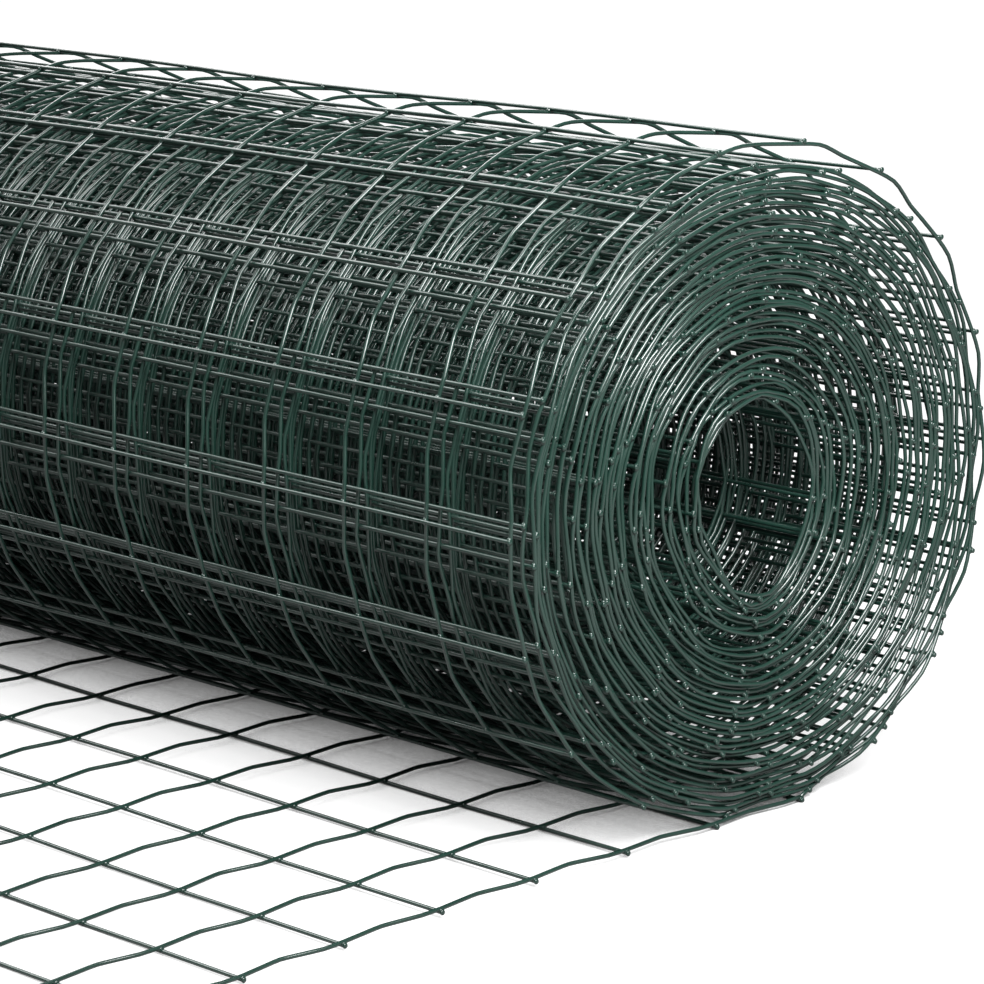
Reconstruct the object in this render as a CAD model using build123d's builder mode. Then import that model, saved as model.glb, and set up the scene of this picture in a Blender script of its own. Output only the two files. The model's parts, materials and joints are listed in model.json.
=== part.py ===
"""Roll of coated welded wire mesh, lying on its side with its free end unrolled flat.

X runs along the roll's axis, the free end runs out towards -Y, and Z = 0 is the floor.
All lengths are in millimetres.
"""

import os
from math import asin, cos, degrees, radians, sin

from build123d import *

# Welded mesh: straight cross wires under line wires that are crimped once in each cell
mesh_pitch = 50.8
wire_d = 1.8
cells_wide = 16
stub_length = 6.0
crimp_depth = 2.8
crimp_rebound = 0.7
crest_share = 0.42
rebound_share = 0.85

# Tightly wound turns
roll_r = 134.0
bore_r = 35.0
ring_count = 5
seat_clearance = 0.3

# Loose outermost turn and the flat free end
loose_gap = 8.0
loose_rise = 1.0
lift_angle = -52.5
free_cells = 7
free_lead = 33.8

# Layers of mesh between the floor and the roll: the free end, then the tucked end of the loose turn
mesh_thickness = 2 * wire_d
free_line_z = 1.5 * wire_d
tuck_line_z = mesh_thickness + free_line_z
roll_z = 2 * mesh_thickness + seat_clearance + roll_r
loose_r = roll_r + loose_gap
loose_z = roll_z + loose_rise

# Across the roll
mesh_width = cells_wide * mesh_pitch
cross_length = mesh_width + 2 * stub_length
line_x = [(wire - cells_wide / 2) * mesh_pitch for wire in range(cells_wide + 1)]

# Along the free end, measured from the roll's axis: one cross wire lies behind the axis, the rest before it
free_cross_y = [-free_lead - cell * mesh_pitch for cell in range(free_cells, -2, -1)]
free_end_y = free_cross_y[0] - stub_length
lift_y = free_cross_y[-1] + mesh_pitch / 2
joint_y = lift_y - wire_d


def turn_bends():
    """The bends of a loose line wire as (y, z): up from the free end, round the roll and in under it.

    The wire stays straight at each weld and bends halfway between two cross wires.
    """
    tuck_angle = 180 + degrees(asin((loose_z - tuck_line_z) / loose_r))
    cell_angle = 2 * degrees(asin(mesh_pitch / 2 / loose_r))
    sides = round((tuck_angle - lift_angle) / cell_angle)
    bends = [(lift_y, free_line_z)]
    for side in range(sides + 1):
        angle = radians(lift_angle + (tuck_angle - lift_angle) * side / sides)
        bends.append((loose_r * cos(angle), loose_z + loose_r * sin(angle)))
    bends.append((bends[-1][0] + mesh_pitch, tuck_line_z))
    return bends


def turn_cross_wires(bends):
    """The place and tilt of the cross wire outside the middle of each straight side."""
    places = []
    for start, end in zip(bends, bends[1:]):
        side = Vector(*end) - Vector(*start)
        outward = Vector(side.Y, -side.X).normalized() * wire_d
        middle = (Vector(*start) + Vector(*end)) / 2 + outward
        places.append(Location((middle.X, middle.Y), side.get_signed_angle(Vector(1, 0))))
    return places


# The origin is the middle of the whole object's footprint
bends = turn_bends()
turn_crosses = turn_cross_wires(bends)
back_reach = max(place.position.X for place in turn_crosses) + wire_d / 2
roll_y = -(back_reach + free_end_y) / 2

# Tightly wound turns: one turned body with a round bore, its turns as rings on both ends.
# The rings rise from the edge wires to the tips of the cross wires.
ring_pitch = (roll_r - bore_r) / ring_count
valley_x = mesh_width / 2
crest_x = cross_length / 2
end_rings = []
for ring in range(ring_count):
    end_rings.append((valley_x, bore_r + ring * ring_pitch))
    end_rings.append((crest_x, bore_r + (ring + 0.5) * ring_pitch))
end_rings.append((valley_x, roll_r))
half_section = end_rings + [(-x, r) for x, r in reversed(end_rings)]

with BuildPart() as wound_roll:
    with BuildSketch(Plane((0, roll_y, roll_z), x_dir=(1, 0, 0), z_dir=(0, -1, 0))):
        with BuildLine():
            Polyline(*half_section, close=True)
        make_face()
    revolve(axis=Axis((0, roll_y, roll_z), (1, 0, 0)))
wound_roll.part.label = "wound_roll"


def across(x):
    """The plane square to the roll's axis at x, with its origin on the floor under the axis."""
    return Plane((x, roll_y, 0), x_dir=(0, 1, 0), z_dir=(1, 0, 0))


# Loose outermost turn: line wires bent once in each cell, with a cross wire outside each straight side
with BuildPart() as outer_turn:
    with BuildSketch(*[across(x) for x in line_x]):
        with BuildLine():
            Polyline((joint_y, free_line_z), *bends)
        trace(line_width=wire_d)
    extrude(amount=wire_d / 2, both=True)
    with BuildSketch(across(-cross_length / 2)):
        with Locations(*turn_crosses):
            Rectangle(wire_d, wire_d)
    extrude(amount=cross_length)
outer_turn.part.label = "outer_turn"

# Flat free end: crimped line wires on top of straight cross wires
crimped_line = [(0, free_end_y)]
for cross_y in free_cross_y[:-1]:
    crimped_line.append((-crimp_depth, cross_y + crest_share * mesh_pitch))
    crimped_line.append((crimp_rebound, cross_y + rebound_share * mesh_pitch))
crimped_line.append((0, free_cross_y[-1]))
crimped_line.append((0, joint_y))

with BuildPart() as unrolled_mesh:
    with BuildSketch(Plane((0, roll_y, wire_d))):
        for x in line_x:
            with BuildLine():
                Polyline(*[(x + aside, y) for aside, y in crimped_line])
            trace(line_width=wire_d)
    extrude(amount=wire_d)
    with BuildSketch(Plane((0, roll_y, 0))):
        with Locations(*[(0, y) for y in free_cross_y]):
            Rectangle(cross_length, wire_d)
    extrude(amount=wire_d)
unrolled_mesh.part.label = "unrolled_mesh"

os.makedirs("parts", exist_ok=True)
export_step(wound_roll.part, "parts/wound_roll.step")
export_step(outer_turn.part, "parts/outer_turn.step")
export_step(unrolled_mesh.part, "parts/unrolled_mesh.step")
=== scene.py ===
"""Roll of coated welded wire fencing, lying on its side with its free end unrolled on the floor.

X runs along the roll's axis, the free end runs out towards -Y, and Z = 0 is the floor. Metres.
"""

import json
from math import cos, pi, radians, sin, tau

import bpy
import numpy as np
from mathutils import Matrix, Vector


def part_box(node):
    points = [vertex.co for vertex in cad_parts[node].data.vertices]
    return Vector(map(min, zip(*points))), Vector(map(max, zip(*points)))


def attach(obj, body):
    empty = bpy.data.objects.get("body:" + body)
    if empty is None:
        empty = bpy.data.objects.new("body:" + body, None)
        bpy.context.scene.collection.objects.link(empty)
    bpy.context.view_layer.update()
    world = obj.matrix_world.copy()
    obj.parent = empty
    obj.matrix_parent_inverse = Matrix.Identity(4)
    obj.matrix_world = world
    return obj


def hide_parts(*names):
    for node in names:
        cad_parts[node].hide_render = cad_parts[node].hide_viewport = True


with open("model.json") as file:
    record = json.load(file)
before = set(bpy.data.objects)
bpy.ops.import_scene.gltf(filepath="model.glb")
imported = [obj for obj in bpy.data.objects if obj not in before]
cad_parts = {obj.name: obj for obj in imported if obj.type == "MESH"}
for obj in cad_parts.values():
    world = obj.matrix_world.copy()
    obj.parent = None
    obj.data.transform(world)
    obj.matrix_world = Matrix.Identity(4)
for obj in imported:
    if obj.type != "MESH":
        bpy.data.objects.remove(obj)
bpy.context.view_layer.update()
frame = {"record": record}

# Course of the sheet: one length of welded mesh, about 22 m, rolled up by hand on no core. Its turns
# are bent at the middle of each cell, where the wire is crimped, and lie on the turn before them.
mesh_pitch = 0.0508
cells_wide = 16
half_width = cells_wide / 2 * mesh_pitch
wire_d = 0.0018
weld_offset = 0.75 * wire_d
line_stub = 0.006
draw = np.random.default_rng(50)

core = next(mount for mount in frame["record"]["mounts"] if mount["name"] == "core_bore")
settle = 0.003
roll_y = core["pos_m"][1]
roll_z = core["pos_m"][2] - settle
free_end_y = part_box("unrolled_mesh")[0].y

turn_samples = 720
sample_angle = tau / turn_samples
wound_radius = 0.1358
lift_angle = radians(-82)
tuck_angle = radians(254)

# Spaces between the turns from the core outwards, on the side where they gape and on the other side
gaping_turns = [0.0028] * 8 + [0.0062, 0.0028, 0.0034, 0.0042] + [0.0022] * 6
gaping_turns += [0.0043, 0.0041] + [0.0024] * 18
packed_turns = [0.0023] * 8 + [0.0070] + [0.0022] * 9 + [0.0024] * 20
gape_angle = radians(10)
gape_power = 3
wound_turns = len(gaping_turns)

loose_samples = round((tuck_angle - lift_angle) / sample_angle)
samples = wound_turns * turn_samples + loose_samples
angle = lift_angle + sample_angle * np.arange(samples, 0, -1)
turns_in = (angle - tuck_angle) / tau
loose = turns_in < 0


def smooth_noise(count, reach):
    """Random drift of about one unit that changes over a stretch of reach samples."""
    raw = draw.normal(size=count + reach - 1)
    drift = np.convolve(raw, np.hanning(reach), "valid")
    return drift / drift.std()


def smooth_step(value, low, high):
    """Nought up to low and one from high on, with a soft rise between them."""
    share = np.clip((value - low) / (high - low), 0, 1)
    return share * share * (3 - 2 * share)


def rounding(count):
    """Weights that round off the corners of a line over this many samples."""
    weights = np.hanning(count)
    return weights / weights.sum()


def from_weld(cells):
    """Distance to the nearest weld, in cells."""
    return np.abs((cells + 0.5) % 1 - 0.5)


def spread(spaces):
    """Share of the way from the core to the outermost turn, along the course."""
    reached = np.concatenate([[0], np.cumsum(spaces)])
    return np.interp(wound_turns - turns_in, np.arange(wound_turns + 1), reached / reached[-1])


# The outline that each turn would take if nothing lay under it, from an oval bore with one flat side
bore_wide = 0.0318
bore_tall = 0.0391
flat_angle = radians(224)
flat_width = radians(28)
flat_depth = 0.1
gaping = (0.5 + 0.5 * np.cos(angle - gape_angle)) ** gape_power
growth = gaping * spread(gaping_turns) + (1 - gaping) * spread(packed_turns)
bore_radius = bore_wide * bore_tall / np.hypot(bore_tall * np.cos(angle), bore_wide * np.sin(angle))
from_flat = (angle - flat_angle + pi) % tau - pi
bore_radius *= 1 - flat_depth * np.exp(-(from_flat / flat_width) ** 2)

# How far the loose turn stands off the roll on its way round
clear_angles = np.radians([-82, -45, -20, 0, 20, 45, 70, 90, 115, 150, 180, 210, 254])
clear_gaps = [0.0008, 0.0018, 0.0026, 0.0023, 0.0034, 0.0080, 0.0096,
              0.0099, 0.0090, 0.0073, 0.0064, 0.0064, 0.0016]
stand_off = np.interp(angle, clear_angles, clear_gaps)
outline = bore_radius * (1 - growth) + wound_radius * growth + np.where(loose, stand_off, 0)

# Depth of the bend in each cell, sharper near the core, and the slack between the turns
wound_bend = 0.0011
core_bend = 0.0019
core_power = 4
loose_bend = 0.0006
sprung_share = 0.15
slack_depth = 0.0003
slack_samples = turn_samples // 8
tight_bends = wound_bend + core_bend * (1 - growth) ** core_power
bend_depth = np.where(loose, loose_bend + sprung_share * stand_off, tight_bends)
slack = slack_depth * smooth_noise(samples, slack_samples)

# A turn nests between the wires of the one under it and rides higher over its welds
nest_share = 0.6
weld_share = 0.3
weld_reach = 0.22


def wind(first_cell):
    """Radius of the sheet along its course and its cells from the core, each turn lying on the last."""
    radius = np.empty(samples)
    cells = np.empty(samples)
    counted = first_cell
    for start in range(0, samples, turn_samples):
        turn = slice(start, min(start + turn_samples, samples))
        ahead = counted + np.cumsum(outline[turn]) * sample_angle / mesh_pitch
        # In at the welds and out between them, by nought on the whole
        bent = bend_depth[turn] * (4 * from_weld(ahead) ** 2 - 1 / 3)
        reach = outline[turn] + bent + slack[turn]
        if start:
            under = slice(start - turn_samples, start - turn_samples + len(reach))
            over_weld = np.exp(-(from_weld(cells[under]) / weld_reach) ** 2)
            reach = np.maximum(reach, radius[under] + wire_d * (nest_share + weld_share * over_weld))
        radius[turn] = reach
        cells[turn] = counted + np.cumsum(reach) * sample_angle / mesh_pitch
        counted = cells[turn][-1]
    return radius, cells


# The welds of the flat free end keep their places, so the count starts where it ends on a whole cell
lift_y = roll_y + wound_radius * cos(lift_angle)
tail_cells = (lift_y - free_end_y - line_stub) / mesh_pitch
radius, cells = wind(0)
radius, cells = wind(-(cells[-1] + tail_cells) % 1)
outermost = (turns_in > 0) & (turns_in < 1)
radius *= 1 + np.where(loose, 0, growth) * (wound_radius / radius[outermost].mean() - 1)
bend_samples = 19
inner = slice(bend_samples - 1, 1 - bend_samples)
radius[inner] = np.convolve(radius, rounding(bend_samples), "same")[inner]

# The outer turns happen to lie with their welds near one another at the front, from the loose one inwards
front_welds = np.radians([138.1, 133.4, 139.2, 132.9, 133.3, 141.2, 136.0, 136.7, 145.4, 137.5, 138.8])
front_welds += tau * np.arange(len(front_welds))
front_cells = np.interp(front_welds, angle[::-1], cells[::-1])
pushed = [0.0]
for cell in front_cells:
    pushed.append(round(cell + pushed[-1]) - cell)
cells += np.interp(angle, np.insert(front_welds, 0, lift_angle), pushed)

# The lowest turns lie on one another and on the floor
bore_shift_y = -0.0058
bore_shift_z = -0.0011
layer_height = 0.0021
floor_line_z = wire_d / 2 + weld_offset
rest_z = floor_line_z + layer_height * (turns_in - turns_in[-1])
turn_y = roll_y + bore_shift_y * (1 - growth) + radius * np.cos(angle)
turn_z = np.maximum(roll_z + bore_shift_z * (1 - growth) + radius * np.sin(angle), rest_z)

# The free end runs on from the lowest turn with a slight bow, and the course a few steps past it
tail_step = 0.002
spare_steps = 3
bow_start = -0.161
bow_length = 0.254
bow_rise = 0.0009
tail_y = np.arange(turn_y[-1], free_end_y - spare_steps * tail_step, -tail_step)[1:]
bow_share = np.clip((tail_y - bow_start) / bow_length, 0, 1)
tail_z = floor_line_z + bow_rise * np.sin(pi * bow_share) ** 2
tail_cell = cells[-1] + (turn_y[-1] - tail_y) / mesh_pitch

course_y = np.concatenate([turn_y, tail_y])
course_z = np.concatenate([turn_z, tail_z])
course_cell = np.concatenate([cells, tail_cell])
free_end_cell = np.interp(free_end_y + line_stub, tail_y[::-1], tail_cell[::-1])
last_weld = round(free_end_cell)
course_cell *= last_weld / free_end_cell
first_weld = int(np.ceil(course_cell[0] + line_stub / mesh_pitch))
tuck_weld = round(course_cell[wound_turns * turn_samples])
lift_weld = round(course_cell[samples])

# The turns wander along the axis, the loose one drifts back, and the free end lies a little askew
tuck_shift = 0.002
lift_shift = 0.004
drift_angle = radians(130)
wound_shift = 0.0015
wound_wander = 0.0011
wound_from = -0.2
wound_to = 0.3
end_shift = 0.0038
end_drift = 0.0016
askew_from = -0.01
askew_to = 0.085
lying_from = 0.06
lying_to = 0.12
turn_shift = lift_shift - (lift_shift - tuck_shift) * smooth_step(angle, 0, drift_angle)
wander = wound_shift + wound_wander * smooth_noise(samples, turn_samples)
turn_shift += smooth_step(turns_in, wound_from, wound_to) * wander
tail_shift = end_shift + end_drift * smooth_step(tail_y, askew_from, askew_to)
course_shift = np.concatenate([turn_shift, tail_shift])
course_lying = np.concatenate([np.zeros(samples), 1 - smooth_step(tail_y, lying_from, lying_to)])

# Across its width the raised sheet sways and sinks a little to the left, and the flat end ripples
tangent_cells = 0.02
sway_from = 0.01
sway_to = 0.08
long_sway = 0.0007
long_sway_rate = 11
long_sway_waves = 2
long_sway_start = 1
short_sway = 0.0005
short_sway_rate = 23
short_sway_waves = 3
sink_slope = 0.003
ripple_cells = 4.6
ripple_rise = 0.0004
ripple_reach = 0.001


def at_cell(cell, values):
    """What these values along the course come to at these cells."""
    return np.interp(cell, course_cell, values)


def on_course(cell, x):
    """Places of a line wire at x, and the outward direction there, at these cells of the course."""
    y = at_cell(cell, course_y)
    z = at_cell(cell, course_z)
    before = cell - tangent_cells
    after = cell + tangent_cells
    ahead_y = at_cell(after, course_y) - at_cell(before, course_y)
    ahead_z = at_cell(after, course_z) - at_cell(before, course_z)
    length = np.hypot(ahead_y, ahead_z)
    outward = np.stack([np.zeros_like(y), -ahead_z / length, ahead_y / length], -1)
    around = np.arctan2(z - roll_z, y - roll_y)
    raised = smooth_step(z, sway_from, sway_to)
    sway = long_sway * np.sin(long_sway_rate * x + long_sway_waves * around + long_sway_start)
    sway += short_sway * np.sin(short_sway_rate * x - short_sway_waves * around)
    sway -= sink_slope * (half_width - x) * np.maximum(np.sin(around), 0)
    lying = at_cell(cell, course_lying)
    ripple = np.cos(tau * (x / mesh_pitch - cells_wide / 2) / ripple_cells)
    x = x + at_cell(cell, course_shift) - lying * ripple_reach * ripple
    z = z + lying * ripple_rise * (1 + ripple)
    return np.stack([x, y, z], -1) + outward * (raised * sway)[..., None], outward


# Wound turns: the roll itself, 38 turns of mesh. Each line wire is drawn steel, coated with plastic
# and crimped once a cell; the straight cross wires are welded across it on the outside.
class Socket:
    """One output in a material's node tree. Sums and products of these add Math nodes."""

    def __init__(self, tree, output=None):
        self.tree = tree
        self.output = output

    def node(self, kind, settings, inputs, output=0):
        """Adds a node: its settings first, then the value or the link of each named input."""
        made = self.tree.nodes.new(kind)
        for name, value in settings.items():
            setattr(made, name, value)
        for name, value in inputs.items():
            if isinstance(value, Socket):
                self.tree.links.new(value.output, made.inputs[name])
            else:
                made.inputs[name].default_value = value
        return Socket(self.tree, made.outputs[output]) if made.outputs else None

    def math(self, operation, first, second):
        """Adds a Math node for one operation on two values."""
        return self.node("ShaderNodeMath", {"operation": operation}, {0: first, 1: second})

    def __add__(self, other):
        return self.math("ADD", self, other)

    def __mul__(self, other):
        return self.math("MULTIPLY", self, other)

    __radd__ = __add__
    __rmul__ = __mul__


def new_material(name):
    """A new material with nothing in it, and a socket to build its nodes from."""
    material = bpy.data.materials.new(name)
    material.use_nodes = True
    material.node_tree.nodes.clear()
    return material, Socket(material.node_tree)


deep_green = (0.006, 0.025, 0.018, 1)
pale_green = (0.0125, 0.045, 0.033, 1)


def coated_wire():
    """Dark-green plastic coat, semi-gloss, a little uneven in colour and gloss and faintly pebbled."""
    material, tree = new_material("coated_wire")
    place = tree.node("ShaderNodeTexCoord", {}, {}, "Object")
    blotch = tree.node("ShaderNodeTexNoise", {}, {"Vector": place, "Scale": 45.0, "Detail": 3.0})
    pebble = tree.node("ShaderNodeTexNoise", {}, {"Vector": place, "Scale": 1400.0, "Detail": 1.0})
    colour = tree.node("ShaderNodeMix", {"data_type": "RGBA"}, {
        "Factor": blotch, 6: deep_green, 7: pale_green}, 2)
    bump = tree.node("ShaderNodeBump", {}, {"Strength": 0.3, "Distance": 0.0001, "Height": pebble})
    coat = tree.node("ShaderNodeBsdfPrincipled", {}, {
        "Base Color": colour, "Roughness": 0.22 + 0.16 * blotch, "IOR": 1.6, "Normal": bump,
        "Coat Weight": 0.4, "Coat Roughness": 0.2})
    tree.node("ShaderNodeOutputMaterial", {}, {"Surface": coat})
    return material


wire_finish = coated_wire()


def tube(points, facing, sizes, sides):
    """Corners and faces of a round wire through the points; facing is any direction across it."""
    ahead = np.gradient(points, axis=0)
    ahead /= np.linalg.norm(ahead, axis=1, keepdims=True)
    across = facing - (facing * ahead).sum(1, keepdims=True) * ahead
    across /= np.linalg.norm(across, axis=1, keepdims=True)
    beside = np.cross(ahead, across)
    turn = tau * (np.arange(sides) + 0.5) / sides
    ring = np.cos(turn)[None, :, None] * across[:, None] + np.sin(turn)[None, :, None] * beside[:, None]
    corners = points[:, None] + sizes[:, None, None] * ring
    row = np.arange(len(points) - 1)[:, None] * sides
    start = row + np.arange(sides)
    after = row + (np.arange(sides) + 1) % sides
    quads = np.stack([start, after, after + sides, start + sides], -1).reshape(-1, 4)
    first_end = np.arange(sides)[::-1]
    last_end = np.arange(sides) + (len(points) - 1) * sides
    return corners.reshape(-1, 3), quads.tolist() + [first_end.tolist(), last_end.tolist()]


def joined(name, shapes, *nodes):
    """One piece from many wires, riding on the roll in place of these CAD nodes."""
    corners = np.concatenate([wire_corners for wire_corners, wire_faces in shapes])
    faces = []
    first = 0
    for wire_corners, wire_faces in shapes:
        faces += [[first + corner for corner in face] for face in wire_faces]
        first += len(wire_corners)
    mesh = bpy.data.meshes.new(name)
    mesh.from_pydata(corners.tolist(), [], faces)
    mesh.shade_smooth()
    mesh.materials.append(wire_finish)
    piece = bpy.data.objects.new(name, mesh)
    bpy.context.scene.collection.objects.link(piece)
    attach(piece, "root")
    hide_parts(*nodes)


line_x = (np.arange(cells_wide + 1) - cells_wide / 2) * mesh_pitch
side_axis = np.array([[1.0, 0.0, 0.0]])
fine_sides = 8
plain_sides = 6

# One cell of a line wire: the places of its rings and its sideways crimp, which the winding has
# pulled flatter in the roll
fine_shares = np.array([0, 0.1, 0.2, 0.3, 0.42, 0.5, 0.57, 0.64, 0.75, 0.88])
plain_shares = np.array([0, 0.18, 0.40, 0.50, 0.60])
rebound_share = 0.18
crest_share = 0.57
crimp_rebound = 0.0006
crimp_depth = 0.0029
crimp_samples = 101
crest_samples = 19
crimp_uneven = 0.12
wound_crimp = 0.45
crimp_fade_cells = 34
crimp_shares = np.linspace(0, 1, crimp_samples)
crimp_line = np.interp(crimp_shares, [0, rebound_share, crest_share, 1], [0, crimp_rebound, -crimp_depth, 0])
crimp_sides = np.convolve(np.pad(crimp_line, crest_samples // 2, "wrap"), rounding(crest_samples), "valid")

# The cut stub at either end of a line wire, by its share of the stub's length and of the wire's size
stub_shares = np.array([0.9, 0.97, 1])
stub_sizes = np.array([1, 0.8, 0.3])


def line_wire(x, first, last, shares, sides):
    """A crimped line wire from one weld to another; it runs on by a stub at either end of the sheet."""
    cell = (np.arange(first, last)[:, None] + shares).ravel()
    cell = np.append(cell, last)
    stub = line_stub / mesh_pitch
    sizes = np.full(len(cell), wire_d / 2)
    if first == first_weld:
        cell = np.concatenate([first - stub_shares[::-1] * stub, cell])
        sizes = np.concatenate([stub_sizes[::-1] * wire_d / 2, sizes])
    if last == last_weld:
        cell = np.concatenate([cell, last + stub_shares * stub])
        sizes = np.concatenate([sizes, stub_sizes * wire_d / 2])
    crimp = np.interp(cell % 1, crimp_shares, crimp_sides)
    uneven = draw.normal(1, crimp_uneven, last - first + 2)
    crimp *= uneven[np.floor(cell).astype(int) - first + 1]
    crimp *= np.interp(cell, [tuck_weld - crimp_fade_cells, tuck_weld], [wound_crimp, 1])
    points = on_course(cell, np.full(len(cell), x))[0]
    points[:, 0] += crimp
    return tube(points, side_axis, sizes, sides)


# The swollen tip at either end of a cross wire, by its share of the tip's length and of the wire's size
cross_stub = 0.0016
tip_shares = np.array([0.2, 0.5, 0.85, 1])
tip_sizes = np.array([1.0, 1.28, 1.28, 0.85])


def cross_wire(weld, step):
    """A straight cross wire on the outside of the line wires, with a ring every step cells."""
    body = np.append(np.arange(-half_width, half_width, step * mesh_pitch), half_width)
    tip = half_width + cross_stub * tip_shares
    x = np.concatenate([-tip[::-1], body, tip])
    sizes = np.concatenate([tip_sizes[::-1], np.ones(len(body)), tip_sizes]) * wire_d / 2
    points, outward = on_course(np.full(len(x), float(weld)), x)
    return tube(points + weld_offset * outward, outward, sizes, fine_sides)


bead_reach = 0.0017
bead_radius = 0.00135
bead_shares = np.array([-1.0, -0.72, 0, 0.72, 1.0])
bead_sizes = np.array([0.25, 0.75, 1.0, 0.75, 0.25])


def weld_bead(x, weld):
    """The thickened coat round one weld, a small rounded lump between the two wires."""
    rings = len(bead_shares)
    points, outward = on_course(np.full(rings, float(weld)), np.full(rings, x))
    ahead = np.cross(outward, side_axis)
    points = points + outward * weld_offset * 0.5 + ahead * bead_shares[:, None] * bead_reach
    return tube(points, side_axis, bead_sizes * bead_radius, plain_sides)


edge_x = line_x[[0, -1]]
shapes = [line_wire(x, first_weld, tuck_weld, fine_shares, fine_sides) for x in edge_x]
joined("wound_edge_wires", shapes, "wound_roll")
for group, wires in {"left": line_x[1:6], "middle": line_x[6:11], "right": line_x[11:16]}.items():
    shapes = [line_wire(x, first_weld, tuck_weld, plain_shares, plain_sides) for x in wires]
    joined(f"wound_line_wires_{group}", shapes, "wound_roll")
wound_welds = range(first_weld, tuck_weld)
joined("wound_cross_wires", [cross_wire(weld, 2) for weld in wound_welds], "wound_roll")
joined("wound_weld_beads", [weld_bead(x, weld) for x in edge_x for weld in wound_welds], "wound_roll")

# Loose outer turn: the last turn of the same sheet, sprung open off the roll. It stands clear of it
# over the top and the front and is held only where it tucks in under the roll.
loose_welds = range(tuck_weld, lift_weld)
shapes = [line_wire(x, tuck_weld, lift_weld, fine_shares, fine_sides) for x in line_x]
shapes += [cross_wire(weld, 1) for weld in loose_welds]
shapes += [weld_bead(x, weld) for x in line_x for weld in loose_welds]
joined("outer_turn_wires", shapes, "outer_turn")

# Free end: the outer end of the sheet, unrolled flat on the floor with its cross wires underneath
# and the cut stubs of its line wires past the last one.
tail_welds = range(lift_weld, last_weld + 1)
shapes = [line_wire(x, lift_weld, last_weld, fine_shares, fine_sides) for x in line_x]
shapes += [cross_wire(weld, 1) for weld in tail_welds]
shapes += [weld_bead(x, weld) for x in line_x for weld in tail_welds]
joined("free_end_wires", shapes, "unrolled_mesh")

# Studio floor: a plain matt sheet, wide enough to fill the view. It shows as white to the camera and
# dimly in gloss. It keeps a faint soft shadow under the roll, partly cast on its matt grey by the lamps
# and partly painted shade, where its white glow is cut under the roll.
floor_size = 40.0
floor_grey = (0.28, 0.28, 0.28, 1)
floor_glow = 0.8
shadow_reach = 0.15
gloss_share = 0.1


def seen_or_mirrored(tree):
    """One where a ray comes from the camera or through a clear surface, less where from a glossy one."""
    rays = ["Is Camera Ray", "Is Glossy Ray", "Is Transmission Ray"]
    camera_ray, glossy_ray, clear_ray = [tree.node("ShaderNodeLightPath", {}, {}, ray) for ray in rays]
    return camera_ray + gloss_share * glossy_ray + clear_ray


def studio_floor():
    """Matt grey to the light, with a white glow to the camera that fades where the roll stands over it,
    painting shade under the roll.
    """
    material, tree = new_material("studio_floor")
    shown = seen_or_mirrored(tree)
    # Painted shade: ambient occlusion under the roll dims the floor's white glow there, on top of the shadow
    # the lamps cast on its matt grey.
    occlusion_for_painted_shadow = tree.node("ShaderNodeAmbientOcclusion", {"samples": 12}, {"Distance": shadow_reach}, "AO")
    glow_outside_painted_shadow = tree.node("ShaderNodeMapRange", {}, {"Value": occlusion_for_painted_shadow, "From Min": 0.1, "From Max": 0.32})
    matt = tree.node("ShaderNodeBsdfDiffuse", {}, {"Color": floor_grey})
    glow = tree.node("ShaderNodeEmission", {}, {"Color": floor_glow * shown * glow_outside_painted_shadow})
    both = tree.node("ShaderNodeAddShader", {}, {0: matt, 1: glow})
    tree.node("ShaderNodeOutputMaterial", {}, {"Surface": both})
    return material


corner = floor_size / 2
floor_corners = [(-corner, -corner, 0), (corner, -corner, 0), (corner, corner, 0), (-corner, corner, 0)]
floor_mesh = bpy.data.meshes.new("floor")
floor_mesh.from_pydata(floor_corners, [], [(0, 1, 2, 3)])
floor_mesh.materials.append(studio_floor())
floor = bpy.data.objects.new("floor", floor_mesh)
bpy.context.scene.collection.objects.link(floor)

# Studio light: a dim, even white surround, a broad soft lamp from above on the left, a weaker one
# from behind, and a softbox that hangs above the near end of the roll.
scene = bpy.context.scene
surround = 0.08
world = bpy.data.worlds.new("studio")
world.use_nodes = True
world.node_tree.nodes.clear()
tree = Socket(world.node_tree)
strength = surround + (1 - surround) * seen_or_mirrored(tree)
sky = tree.node("ShaderNodeBackground", {}, {"Color": (1, 1, 1, 1), "Strength": strength})
tree.node("ShaderNodeOutputWorld", {}, {"Surface": sky})
scene.world = world


def stand(name, data, back):
    """Stands a lamp or a camera in the scene so that it looks away from the direction back."""
    placed = bpy.data.objects.new(name, data)
    placed.rotation_mode = "QUATERNION"
    placed.rotation_quaternion = back.to_track_quat("Z", "Y")
    scene.collection.objects.link(placed)
    return placed


def soft_lamp(name, back, strength, width):
    """A broad far lamp whose light comes from the direction back."""
    lamp = bpy.data.lights.new(name, "SUN")
    lamp.energy = strength
    lamp.angle = radians(width)
    stand(name, lamp, back)


soft_lamp("left", Vector((-0.56, -0.18, 0.81)), strength=2.3, width=40)
soft_lamp("behind", Vector((-0.72, 0.55, 0.42)), strength=1.7, width=40)

softbox_place = Vector((0.98, -0.08, 0.80))
softbox_target = Vector((0.41, 0.13, 0.14))
softbox = bpy.data.lights.new("softbox", "AREA")
softbox.shape = "SQUARE"
softbox.size = 0.5
softbox.energy = 20.0
stand("softbox", softbox, softbox_place - softbox_target).location = softbox_place

# Camera: a long lens a little above the roll, looking past its near end along the front. It is
# turned by a small roll, as the photograph is.
view_azimuth = radians(47.97)
view_height = radians(13.49)
view_roll = radians(-2.05)
camera = bpy.data.cameras.new("camera")
camera.lens = 159.8
camera.sensor_width = 36.0
level = cos(view_height)
back = Vector((sin(view_azimuth) * level, -cos(view_azimuth) * level, sin(view_height)))
placed = stand("camera", camera, back)
placed.rotation_quaternion = placed.rotation_quaternion @ Matrix.Rotation(view_roll, 3, "Z").to_quaternion()
placed.location = (1.6459, -1.1392, 0.5662)
scene.camera = placed

scene.view_settings.view_transform = "Standard"
